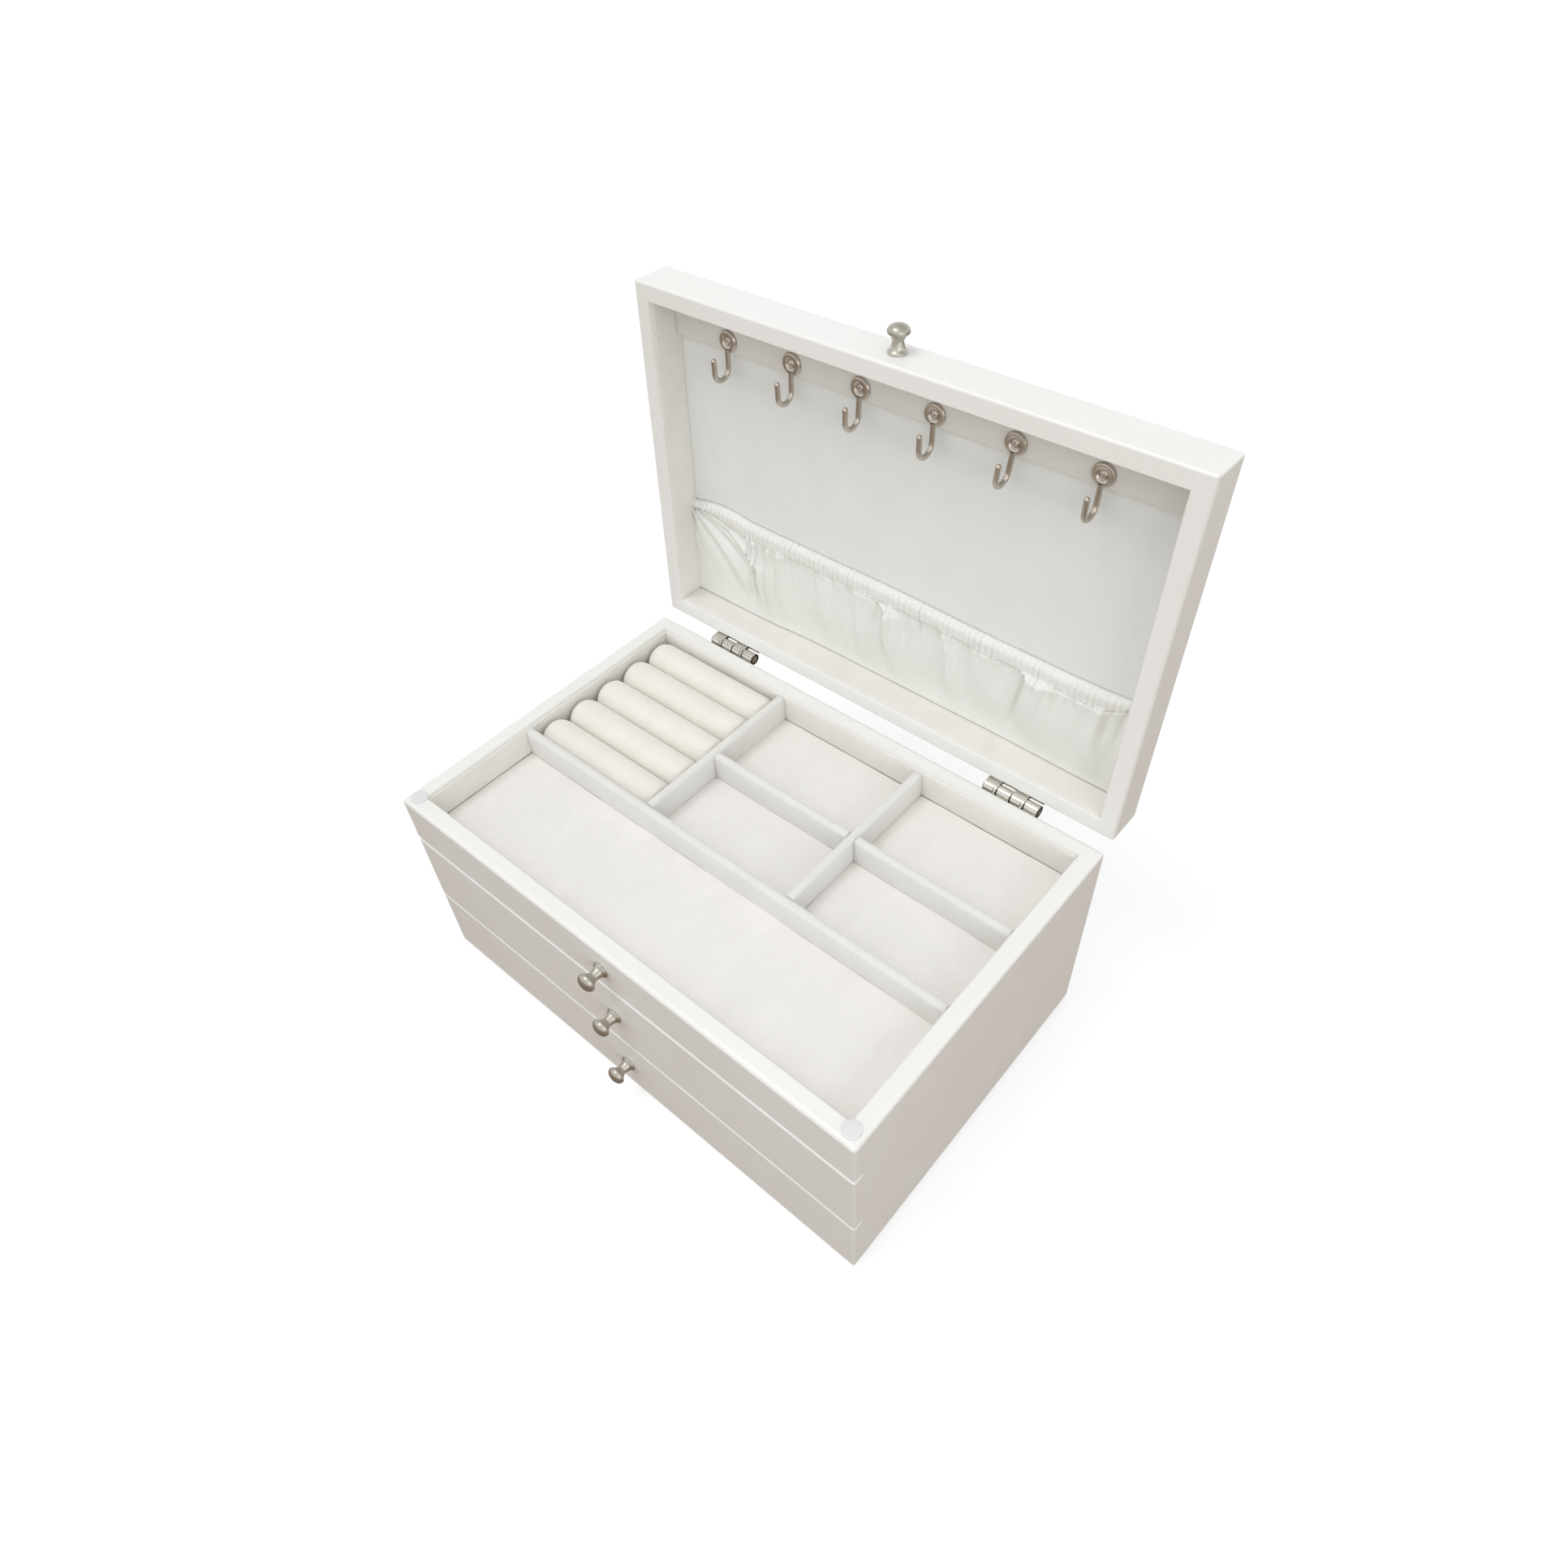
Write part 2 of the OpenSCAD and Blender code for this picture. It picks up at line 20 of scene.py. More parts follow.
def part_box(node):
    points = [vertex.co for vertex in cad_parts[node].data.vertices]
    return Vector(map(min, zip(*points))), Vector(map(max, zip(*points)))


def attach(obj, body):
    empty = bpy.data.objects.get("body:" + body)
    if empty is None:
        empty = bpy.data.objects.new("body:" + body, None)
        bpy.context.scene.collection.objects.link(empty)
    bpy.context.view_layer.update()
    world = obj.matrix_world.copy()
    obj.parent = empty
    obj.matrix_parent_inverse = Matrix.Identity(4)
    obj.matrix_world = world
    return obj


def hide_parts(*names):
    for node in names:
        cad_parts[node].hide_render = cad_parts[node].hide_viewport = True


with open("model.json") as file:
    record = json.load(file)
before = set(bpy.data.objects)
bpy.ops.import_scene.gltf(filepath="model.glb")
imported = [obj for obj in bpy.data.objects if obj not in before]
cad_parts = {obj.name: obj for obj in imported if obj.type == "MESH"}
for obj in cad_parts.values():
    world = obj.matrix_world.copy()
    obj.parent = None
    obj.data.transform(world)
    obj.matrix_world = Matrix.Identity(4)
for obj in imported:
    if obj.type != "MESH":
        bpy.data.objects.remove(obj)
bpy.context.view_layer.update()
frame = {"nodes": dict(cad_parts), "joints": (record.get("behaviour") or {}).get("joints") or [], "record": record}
MM = 0.001
IN_PLACE = Matrix.Identity(4)

# ---------- camera ----------

CAMERA_AT = Vector((0.26228, -0.24234, 0.53332))
LOOKS_AT = Vector((0.00173, 0.03286, 0.1300))
CAMERA_LENS = 24.789
CAMERA_SENSOR = 36
CAMERA_ROLL = -3.673


def add_camera():
    """Camera fitted to the corners of case and lid in the photograph."""
    data = bpy.data.cameras.new("camera")
    data.lens, data.sensor_width = CAMERA_LENS, CAMERA_SENSOR
    camera = bpy.data.objects.new("camera", data)
    bpy.context.scene.collection.objects.link(camera)
    camera.rotation_mode = "QUATERNION"
    camera.location = CAMERA_AT
    upright = (LOOKS_AT - CAMERA_AT).to_track_quat("-Z", "Y")
    camera.rotation_quaternion = upright @ Quaternion((0, 0, 1), math.radians(CAMERA_ROLL))
    bpy.context.scene.camera = camera


# ---------- the lid's own frame ----------

HINGE = next(j for j in frame["joints"] if j["name"] == "lid_hinge")
HINGE_AT = Vector(HINGE["pos_m"])
LID_OPEN = (
    Matrix.Translation(HINGE_AT)
    @ Matrix.Rotation(-math.radians(HINGE["range_deg"][1]), 4, "X")
    @ Matrix.Translation(-HINGE_AT)
)


def closed_box(node):
    """Lowest and highest corner of a lid node, with the lid closed."""
    back = LID_OPEN.inverted()
    points = np.array([back @ v.co for v in frame["nodes"][node].data.vertices])
    return Vector(points.min(0)), Vector(points.max(0))


# ---------- materials ----------


def srgb(r, g, b):
    """Linear colour of a colour given as 0 to 255."""
    return tuple(((c / 255 + 0.055) / 1.055) ** 2.4 for c in (r, g, b)) + (1.0,)


class Finish:
    """A material whose nodes read the piece's own position in metres."""

    def __init__(self, name):
        self.material = bpy.data.materials.new(name)
        self.material.use_nodes = True
        self.tree = self.material.node_tree
        self.shader = self.tree.nodes["Principled BSDF"]
        self.place = self.tree.nodes.new("ShaderNodeTexCoord").outputs["Object"]

    def set(self, **values):
        for name, value in values.items():
            self.shader.inputs[name.replace("_", " ")].default_value = value

    def node(self, kind, **inputs):
        made = self.tree.nodes.new(kind)
        for name, value in inputs.items():
            socket = made.inputs[name.replace("_", " ")]
            if isinstance(value, bpy.types.NodeSocket):
                self.tree.links.new(value, socket)
            else:
                socket.default_value = value
        return made

    def stretched(self, x, y, z):
        """Positions scaled along each axis, so that grain runs one way."""
        return self.node("ShaderNodeMapping", Vector=self.place, Scale=(x, y, z)).outputs["Vector"]

    def noise(self, size, detail=3.0, roughness=0.5, place=None, distortion=0.0):
        """Noise whose lumps are size across."""
        made = self.node(
            "ShaderNodeTexNoise", Vector=place or self.place, Scale=1 / size, Detail=detail,
            Roughness=roughness, Distortion=distortion,
        )
        return made.outputs["Fac"]

    def range(self, value, low, high, start=0.3, stop=0.7):
        """value, from start to stop, spread over low to high."""
        made = self.node("ShaderNodeMapRange", Value=value)
        for name, number in (("From Min", start), ("From Max", stop), ("To Min", low), ("To Max", high)):
            made.inputs[name].default_value = number
        return made.outputs["Result"]

    def mix(self, share, first, second):
        """Colour between first and second."""
        made = self.tree.nodes.new("ShaderNodeMix")
        made.data_type = "RGBA"
        for index, value in ((0, share), (6, first), (7, second)):
            if isinstance(value, bpy.types.NodeSocket):
                self.tree.links.new(value, made.inputs[index])
            else:
                made.inputs[index].default_value = value
        return made.outputs[2]

    def reckon(self, operation, value, other=0.0):
        """value, changed by one step of arithmetic with other."""
        made = self.tree.nodes.new("ShaderNodeMath")
        made.operation = operation
        self.tree.links.new(value, made.inputs[0])
        if isinstance(other, bpy.types.NodeSocket):
            self.tree.links.new(other, made.inputs[1])
        else:
            made.inputs[1].default_value = other
        return made.outputs[0]

    def colour(self, socket):
        self.tree.links.new(socket, self.shader.inputs["Base Color"])

    def rough(self, socket):
        self.tree.links.new(socket, self.shader.inputs["Roughness"])

    def bump(self, *layers):
        """layers are (height socket, depth in metres, strength)."""
        normal = None
        for height, depth, strength in layers:
            made = self.node("ShaderNodeBump", Height=height, Distance=depth, Strength=strength)
            if normal is not None:
                self.tree.links.new(normal, made.inputs["Normal"])
            normal = made.outputs["Normal"]
        self.tree.links.new(normal, self.shader.inputs["Normal"])


def lacquer():
    f = Finish("white_lacquer")
    cloud, speck = f.noise(60 * MM, 2), f.noise(0.9 * MM, 2)
    f.colour(f.mix(f.range(cloud, 0, 1), srgb(238, 238, 235), srgb(241, 241, 239)))
    f.rough(f.range(f.noise(14 * MM, 4), 0.3, 0.42))
    f.bump((f.noise(3.5 * MM, 2), 0.02 * MM, 0.15), (speck, 0.005 * MM, 0.1))
    f.set(Coat_Weight=0.1, Coat_Roughness=0.2, Specular_IOR_Level=0.4)
    return f.material


def bare_board():
    f = Finish("bare_board")
    fibre = f.noise(1.1 * MM, 5, 0.7, f.stretched(0.35, 0.35, 1.6))
    f.colour(f.mix(f.range(fibre, 0, 1), srgb(222, 207, 184), srgb(236, 224, 204)))
    f.rough(f.range(fibre, 0.55, 0.75))
    f.bump((fibre, 0.08 * MM, 0.4), (f.noise(0.4 * MM, 3), 0.03 * MM, 0.4))
    f.set(Specular_IOR_Level=0.3)
    return f.material


def cloth(name, low, high, nap, sheen=0.3, fibre=0.28 * MM, patch=16 * MM, depth=0.05 * MM):
    """Brushed cloth: a fine pile of fibre, brushed into patches a little lighter and darker by nap."""
    f = Finish(name)
    brushed = f.noise(patch, 3, 0.55, f.stretched(1, 0.6, 0.8), distortion=0.6)
    pile = f.noise(fibre, 3, 0.65)
    pile_colour = f.mix(f.range(pile, 0, 1, 0.25, 0.75), low, high)
    darker = tuple(c * (1 - nap) for c in low[:3]) + (1.0,)
    f.colour(f.mix(f.range(brushed, 0, 0.6, 0.35, 0.7), pile_colour, darker))
    f.rough(f.range(brushed, 0.82, 0.96))
    f.bump((pile, depth, 0.5), (f.noise(1.3 * MM, 2), depth, 0.25))
    f.set(Sheen_Weight=sheen, Sheen_Roughness=0.45, Specular_IOR_Level=0.2)
    return f.material


def velvet(name, low, high):
    """Short pile over foam: light goes a little way in, so that the valleys stay pale."""
    material = cloth(name, low, high, 0.03, 0.4, 0.35 * MM)
    shader = material.node_tree.nodes["Principled BSDF"]
    shader.inputs["Subsurface Weight"].default_value = 0.5
    shader.inputs["Subsurface Radius"].default_value = (1.0, 0.92, 0.8)
    shader.inputs["Subsurface Scale"].default_value = 5 * MM
    return material


def woven(name, low, high, thread=0.32 * MM):
    """Smooth cloth with fine threads along X and along Y and Z."""
    f = Finish(name)
    depth = 0.03 * MM
    weft = f.noise(thread, 2, 0.5, f.stretched(0.12, 1, 1))
    warp = f.noise(thread, 2, 0.5, f.stretched(1, 0.12, 0.12))
    soft = f.noise(22 * MM, 2)
    ground, raised = f.mix(f.range(soft, 0, 0.7), low, high), f.mix(f.range(warp, 0, 1), low, high)
    f.colour(f.mix(f.range(weft, 0, 1), ground, raised))
    f.rough(f.range(warp, 0.62, 0.8))
    f.bump((weft, depth, 0.35), (warp, depth, 0.35))
    f.set(Sheen_Weight=0.15, Sheen_Roughness=0.4, Specular_IOR_Level=0.3)
    return f.material


ALONG_X = (0.04, 1, 1)
EVERY_WAY = (1, 1, 1)


def nickel(name, along, rough_low, rough_high, dark, light, groove=0.008 * MM):
    """Satin nickel from dark to light, with fine brush marks drawn out by the three factors of along."""
    f = Finish(name)
    brushed = f.noise(0.3 * MM, 3, 0.6, f.stretched(*along))
    tarnish = f.noise(5 * MM, 3)
    f.colour(f.mix(f.range(tarnish, 0, 1), dark, light))
    f.rough(f.range(brushed, rough_low, rough_high))
    f.bump((brushed, groove, 0.3))
    f.set(Metallic=1.0)
    return f.material


KNUCKLE = 8 * MM
KNUCKLE_R = 3.3 * MM
GAP_HALF, GAP_FADE = 0.3 * MM, 0.55 * MM
# Painted shade: the dark colour put into the gaps between the hinge's knuckles
KNUCKLE_GAP_SHADE_COLOUR = srgb(52, 48, 40)


def hinge_nickel():
    """Satin nickel with painted shade in the gaps between its knuckles, a KNUCKLE apart on either side."""
    f = Finish("hinge_nickel")
    brushed = f.noise(0.3 * MM, 3, 0.6, f.stretched(*ALONG_X))
    plate = f.mix(f.range(f.noise(5 * MM, 3), 0, 1), srgb(206, 204, 195), srgb(220, 218, 210))
    either_side = f.node("ShaderNodeVectorMath", Vector=f.place)
    either_side.operation = "ABSOLUTE"
    end = (-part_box("hinge_case_leaves")[1].x, 0, -HINGE_AT.z)
    from_end = f.node("ShaderNodeMapping", Vector=either_side.outputs[0], Location=end)
    split = f.node("ShaderNodeSeparateXYZ", Vector=from_end.outputs[0])
    off_gap = f.reckon("PINGPONG", split.outputs["X"], KNUCKLE / 2)
    gap_shade = f.range(off_gap, 1, 0, GAP_HALF, GAP_FADE)
    off_axis = f.reckon("ABSOLUTE", split.outputs["Z"])
    on_knuckle = f.range(off_axis, 1, 0, KNUCKLE_R * 0.9, KNUCKLE_R)
    # Painted shade in the knuckle gaps: dark where a point is near a gap and near the height of the hinge axis
    f.colour(f.mix(f.reckon("MULTIPLY", gap_shade, on_knuckle), plate, KNUCKLE_GAP_SHADE_COLOUR))
    f.rough(f.range(brushed, 0.22, 0.32))
    f.bump((brushed, 0.006 * MM, 0.3))
    f.set(Metallic=1.0)
    return f.material


def silicone():
    f = Finish("clear_silicone")
    cloud = f.noise(1.5 * MM, 3)
    f.colour(f.mix(f.range(cloud, 0, 1), srgb(236, 236, 239), srgb(242, 242, 245)))
    f.rough(f.range(cloud, 0.3, 0.42))
    f.bump((cloud, 0.01 * MM, 0.15))
    f.set(Transmission_Weight=0.12, IOR=1.41)
    return f.material


MATERIALS = {
    "white_lacquer": lacquer(),
    "bare_board": bare_board(),
    "base_felt": cloth(
        "base_felt", srgb(214, 212, 206), srgb(228, 226, 221), 0.1,
        fibre=0.6 * MM, patch=9 * MM, depth=0.2 * MM,
    ),
    "floor_suede": cloth("floor_suede", srgb(236, 234, 230), srgb(244, 242, 239), 0.03),
    "wall_suede": cloth("wall_suede", srgb(227, 225, 219), srgb(236, 234, 230), 0.04, depth=0.015 * MM),
    "divider_suede": cloth("divider_suede", srgb(225, 224, 220), srgb(233, 232, 229), 0.03),
    "cream_velvet": velvet("cream_velvet", srgb(233, 230, 222), srgb(240, 238, 231)),
    "lid_cloth": woven("lid_cloth", srgb(227, 230, 228), srgb(235, 237, 235)),
    "pocket_cloth": woven("pocket_cloth", srgb(228, 229, 225), srgb(237, 238, 234), 0.38 * MM),
    "satin_nickel": nickel("satin_nickel", ALONG_X, 0.3, 0.42, srgb(196, 194, 188), srgb(208, 206, 201)),
    "clear_silicone": silicone(),
}
# The hook rail's cloth is the lid's cloth made darker: painted shade on the rail beside the lid's rim
SHADED_RAIL_CLOTH = woven("rail_cloth_painted_shade", srgb(217, 216, 210), srgb(225, 224, 219))
TURNED_NICKEL = nickel("turned_nickel", EVERY_WAY, 0.36, 0.46, srgb(184, 180, 170), srgb(198, 194, 185))
HINGE_NICKEL = hinge_nickel()
HOOK_NICKEL = nickel(
    "hook_nickel", EVERY_WAY, 0.3, 0.42, srgb(192, 185, 174), srgb(208, 201, 191), groove=0.004 * MM
)


# ---------- making and placing pieces ----------


def finish_piece(piece, body, slot, replaced=(), material=None):
    """Gives a piece a material, the one for its slot unless another is given, and puts it on its body in place of
    CAD nodes.
    """
    piece.data.materials.clear()
    piece.data.materials.append(material or MATERIALS[slot])
    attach(piece, body)
    if replaced:
        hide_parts(*replaced)
    return piece


def from_bmesh(name, bm, place=IN_PLACE):
    """Object from a bmesh with outward faces, smooth-shaded, moved by place."""
    bmesh.ops.recalc_face_normals(bm, faces=bm.faces)
    bm.transform(place)
    mesh = bpy.data.meshes.new(name)
    bm.to_mesh(mesh)
    bm.free()
    mesh.shade_smooth()
    piece = bpy.data.objects.new(name, mesh)
    bpy.context.scene.collection.objects.link(piece)
    return piece


# ---------- shapes ----------

NO_RADIUS = 1e-6
ARC_STEP = 15


def circle(segments):
    """Angles of the points round a circle."""
    return [2 * math.pi * k / segments for k in range(segments)]


def skin(bm, rings):
    """Faces between each ring of points and the next."""
    for before, after in zip(rings, rings[1:]):
        for i in range(len(before)):
            j = (i + 1) % len(before)
            bm.faces.new((before[i], before[j], after[j], after[i]))


def lathe(profile, segments=64):
    """Profile of (radius, height) pairs turned about Z. Radius 0 closes an end."""
    bm = bmesh.new()
    turns = circle(segments)
    rings = []
    for radius, height in profile:
        around = turns if radius > NO_RADIUS else [0]
        rings.append([bm.verts.new((radius * math.cos(a), radius * math.sin(a), height)) for a in around])
    for low, high in zip(rings, rings[1:]):
        for i in range(segments):
            j = (i + 1) % segments
            corners = (low[i % len(low)], low[j % len(low)], high[j % len(high)], high[i % len(high)])
            face = list(dict.fromkeys(corners))
            if len(face) > 2:
                bm.faces.new(face)
    return bm


def flowing(points, steps=6):
    """Points along a smooth line through the given ones."""
    given = [np.array(p, float) for p in points]
    given = [2 * given[0] - given[1]] + given + [2 * given[-1] - given[-2]]
    line = []
    for a, b, c, d in zip(given, given[1:], given[2:], given[3:]):
        for t in np.arange(steps) / steps:
            bend = (2 * a - 5 * b + 4 * c - d) * t**2 + (3 * b - a - 3 * c + d) * t**3
            line.append((2 * b + (c - a) * t + bend) / 2)
    return line + [given[-2]]


def tube(path, radius, segments=24):
    """Round wire along a path, with a half-round end at the path's last point."""
    ahead = (path[-1] - path[-2]).normalized()
    hoops = [(p, radius) for p in path]
    for step in range(1, 7):
        angle = math.radians(ARC_STEP * step)
        hoops.append((path[-1] + ahead * radius * math.sin(angle), radius * math.cos(angle)))
    bm, rings, side = bmesh.new(), [], None
    last = len(hoops) - 1
    for index, (centre, r) in enumerate(hoops):
        onward = hoops[min(index + 1, last)][0] - hoops[max(index - 1, 0)][0]
        onward.normalize()
        side = onward.orthogonal() if side is None else side - onward * side.dot(onward)
        side.normalize()
        other = onward.cross(side)
        r = max(r, radius * 0.02)
        around = [centre + side * r * math.cos(a) + other * r * math.sin(a) for a in circle(segments)]
        rings.append([bm.verts.new(point) for point in around])
    skin(bm, rings)
    bm.faces.new(rings[-1])
    return bm


def joined(*shapes):
    """Several bmeshes in one."""
    whole = bmesh.new()
    for bm in shapes:
        part = bpy.data.meshes.new("part")
        bm.to_mesh(part)
        bm.free()
        whole.from_mesh(part)
        bpy.data.meshes.remove(part)
    return whole


def stations(low, high, ease, step):
    """Coordinates from low to high, close together where the edges are rounded by ease."""
    turn = [ease * (1 - math.tan(math.radians(ARC_STEP * k))) for k in (3, 2, 1, 0)]
    flat = high - low - 2 * ease
    count = max(1, round(flat / step))
    middle = [low + ease + flat * k / count for k in range(1, count)]
    return [low + t for t in turn] + middle + [high - t for t in reversed(turn)]


def rounded(place, low, high, ease):
    """A point on a box's surface, pulled in where it lies within ease of an edge or corner."""
    inner = Vector(min(max(place[i], low[i] + ease[i]), high[i] - ease[i]) for i in range(3))
    away = Vector((place[i] - inner[i]) / ease[i] for i in range(3)).normalized()
    return Vector(inner[i] + away[i] * ease[i] for i in range(3))


def soft_box(low, high, ease, step):
    """Box with edges rounded by ease, which is a length for each axis, in a fine even grid."""
    low, high, ease = Vector(low), Vector(high), Vector(ease)
    along = [stations(low[i], high[i], ease[i], step) for i in range(3)]
    bm, known = bmesh.new(), {}

    def corner(key):
        if key not in known:
            place = Vector(along[i][key[i]] for i in range(3))
            known[key] = bm.verts.new(rounded(place, low, high, ease))
        return known[key]

    for axis in range(3):
        u, v = (axis + 1) % 3, (axis + 2) % 3
        for end in (0, len(along[axis]) - 1):
            for i in range(len(along[u]) - 1):
                for j in range(len(along[v]) - 1):
                    face = []
                    for a, b in ((i, j), (i + 1, j), (i + 1, j + 1), (i, j + 1)):
                        key = [0, 0, 0]
                        key[axis], key[u], key[v] = end, a, b
                        face.append(corner(tuple(key)))
                    bm.faces.new(face)
    bmesh.ops.recalc_face_normals(bm, faces=bm.faces)
    return bm


def ruffled(bm, depth, size, turn):
    """Uneven hand-made surface: every point goes in or out by up to depth, in waves of that size."""
    bm.normal_update()
    moves = [v.normal * depth * noise.noise(v.co / size + Vector((turn, 0, 0))) for v in bm.verts]
    for vert, move in zip(bm.verts, moves):
        vert.co += move
    return bm


# ---------- covered boards: linings, floors and dividers ----------

BOARD_WAVE = 14 * MM
BOARD_STEP = 5 * MM
PAD_DEPTH = 0.16 * MM
CARD_DEPTH = 0.04 * MM
LINING_EASE = (0.45 * MM,) * 3
THIN_EASE = (0.3 * MM,) * 3
PAD_EASE = (0.5 * MM,) * 3
RAIL_EASE = (0.4 * MM, 1.0 * MM, 1.0 * MM)
# How far the linings reach into the wood beside them, so that no two faces lie in one plane
LINING_SUNK = Vector((0.12, 0.12, 0)) * MM


def covered_board(name, low, high, ease, body, slot, replaced, fill=0.9, place=IN_PLACE):
    """Card under cloth. With a fill of 1 the cloth lies straight on it, and else on a thin soft pad."""
    depth = PAD_DEPTH if fill < 1 else CARD_DEPTH
    bm = ruffled(soft_box(low, high, ease, BOARD_STEP), depth, BOARD_WAVE, len(name))
    piece = finish_piece(from_bmesh(name, bm, place), body, slot, (replaced,))
    return piece


def wall_linings(name, outer, t, body, replaced, place=IN_PLACE):
    """Four covered cards pressed against the sides of a hollow; the long ones reach into the corners."""
    (x0, y0, z0), (x1, y1, z1) = outer[0] - LINING_SUNK, outer[1] + LINING_SUNK
    t += LINING_SUNK.x
    strips = {
        "front": ((x0 + t, y0, z0), (x1 - t, y0 + t, z1)),
        "back": ((x0 + t, y1 - t, z0), (x1 - t, y1, z1)),
        "left": ((x0, y0, z0), (x0 + t, y1, z1)),
        "right": ((x1 - t, y0, z0), (x1, y1, z1)),
    }
    for side, (low, high) in strips.items():
        covered_board(f"{name}_{side}", low, high, LINING_EASE, body, "wall_suede", replaced, 1.0, place)


DIVIDER_TOP = 2.3 * MM
DIVIDER_END = 0.5 * MM


def cover_dividers(long, ring, cross, middle):
    """Cloth over the dividers; the middle one is two boards, on either side of the cross divider."""
    dip = DIVIDER_TOP
    along_x, along_y = (DIVIDER_END, dip, dip), (dip, DIVIDER_END, dip)
    boards = (
        ("tray_long_divider", long, along_x),
        ("tray_ring_divider", ring, along_y),
        ("tray_cross_divider", cross, along_y),
    )
    for node, box, ease in boards:
        low = box[0] - Vector((0, 0, dip))
        covered_board(node + "_pad", low, box[1], ease, "case", "divider_suede", node)
    halves = {"centre": (ring[1].x, cross[0].x), "right": (cross[1].x, middle[1].x)}
    for half, (left, right) in halves.items():
        low, high = (left, middle[0].y, middle[0].z - dip), (right, middle[1].y, middle[1].z)
        name = "tray_mid_divider_" + half
        covered_board(name, low, high, along_x, "case", "divider_suede", "tray_mid_divider")


def line_tray():
    """Linings, dividers and floors of the tray; the floor is one pad for each bay."""
    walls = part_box("tray_wall_lining")
    long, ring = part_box("tray_long_divider"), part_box("tray_ring_divider")
    cross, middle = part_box("tray_cross_divider"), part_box("tray_mid_divider")
    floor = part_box("tray_floor_pad")
    t = long[0].x - walls[0].x
    wall_linings("tray_lining", walls, t, "case", "tray_wall_lining")
    cover_dividers(long, ring, cross, middle)
    front, back = walls[0].y + t, walls[1].y - t
    bays = {
        "front": (long[0].x, front, long[1].x, long[0].y),
        "rings": (long[0].x, long[1].y, ring[0].x, back),
        "middle_centre": (ring[1].x, long[1].y, cross[0].x, middle[0].y),
        "middle_right": (cross[1].x, long[1].y, long[1].x, middle[0].y),
        "rear_centre": (ring[1].x, middle[1].y, cross[0].x, back),
        "rear_right": (cross[1].x, middle[1].y, long[1].x, back),
    }
    for bay, (x0, y0, x1, y1) in bays.items():
        low, high = (x0, y0, floor[0].z), (x1, y1, floor[1].z)
        name = "tray_floor_" + bay
        covered_board(name, low, high, THIN_EASE, "case", "floor_suede", "tray_floor_pad")


def line_lid():
    """Cloth inside the lid: its ceiling, its side walls and the rail that the hooks hang from."""
    ceiling, walls = closed_box("lid_ceiling_lining"), closed_box("lid_wall_lining")
    rail = closed_box("hook_rail")
    t = rail[0].x - walls[0].x
    wall_linings("lid_lining", walls, t, "lid", "lid_wall_lining", LID_OPEN)
    covered_board(
        "lid_ceiling", *ceiling, THIN_EASE, "lid", "lid_cloth", "lid_ceiling_lining", 1.0, LID_OPEN
    )
    pad = covered_board(
        "hook_rail_pad", *rail, RAIL_EASE, "lid", "lid_cloth", "hook_rail", 1.0, LID_OPEN
    )
    # The rail gets the darker copy of the lid's cloth: painted shade
    pad.data.materials[0] = SHADED_RAIL_CLOTH


def line_drawers():
    """Suede floors of the drawers, and the felt under the case."""
    for body in ("upper_drawer", "lower_drawer"):
        node = body + "_pad"
        covered_board(body + "_floor", *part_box(node), PAD_EASE, body, "floor_suede", node)
    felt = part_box("base_felt")
    covered_board("felt_underside", *felt, PAD_EASE, "case", "base_felt", "base_felt", 1.0)


# ---------- ring rolls ----------

ROLL_ROUND = 10.9 * MM
ROLL_LEFT_END = 5.8 * MM
ROLL_RIGHT_END = 3.5 * MM
# At its right end a roll is pressed to this share of its radius, and swells out by the rest
ROLL_PRESSED, ROLL_SWELL = 0.72, 0.28
ROLL_VOXEL = 2.5 * MM
ROLL_CAP = 0.7 * MM
ROLL_STEPS = 44
# How far a roll may come up to its neighbours and above its CAD solid
ROLL_PAST = 0.2 * MM
CLOTH_FRAMES = 20
CLOTH_PRESSURE = 4.0


def roll_shape(low, high):
    """Round bar with a domed left end. It is cut flat later, where it touches other pieces."""
    bm, rings = bmesh.new(), []
    centre_y, centre_z = (low.y + high.y) / 2, high.z - ROLL_ROUND
    ends = [math.radians(90 * k / 8) for k in range(9)]
    left = [(low.x + ROLL_LEFT_END * (1 - math.cos(a)), math.sin(a)) for a in ends]
    right = [
        (high.x - ROLL_RIGHT_END * (1 - math.cos(a)), ROLL_PRESSED + ROLL_SWELL * math.sin(a))
        for a in reversed(ends)
    ]
    for x, share in left[1:] + right:
        ring = []
        for a in circle(ROLL_STEPS):
            y = centre_y + ROLL_ROUND * share * math.cos(a)
            z = centre_z + ROLL_ROUND * share * math.sin(a)
            ring.append(bm.verts.new((x, y, z)))
        rings.append(ring)
    skin(bm, rings)
    bm.faces.new(rings[0])
    bm.faces.new(rings[-1])
    return bm


def points_of(mesh):
    """The mesh's points as rows of an array."""
    flat = np.empty(len(mesh.vertices) * 3, np.float32)
    mesh.vertices.foreach_get("co", flat)
    return flat.reshape(-1, 3).astype(float)


def set_points(mesh, points):
    mesh.vertices.foreach_set("co", points.astype(np.float32).ravel())
    mesh.update()


def evaluated(piece):
    return piece.evaluated_get(bpy.context.evaluated_depsgraph_get())


def with_modifier(piece, kind, **settings):
    """Applies one modifier by taking over the mesh that it makes."""
    modifier = piece.modifiers.new(kind.lower(), kind)
    for name, value in settings.items():
        setattr(modifier, name, value)
    bpy.context.view_layer.update()
    mesh = bpy.data.meshes.new_from_object(evaluated(piece))
    piece.modifiers.clear()
    piece.data = mesh


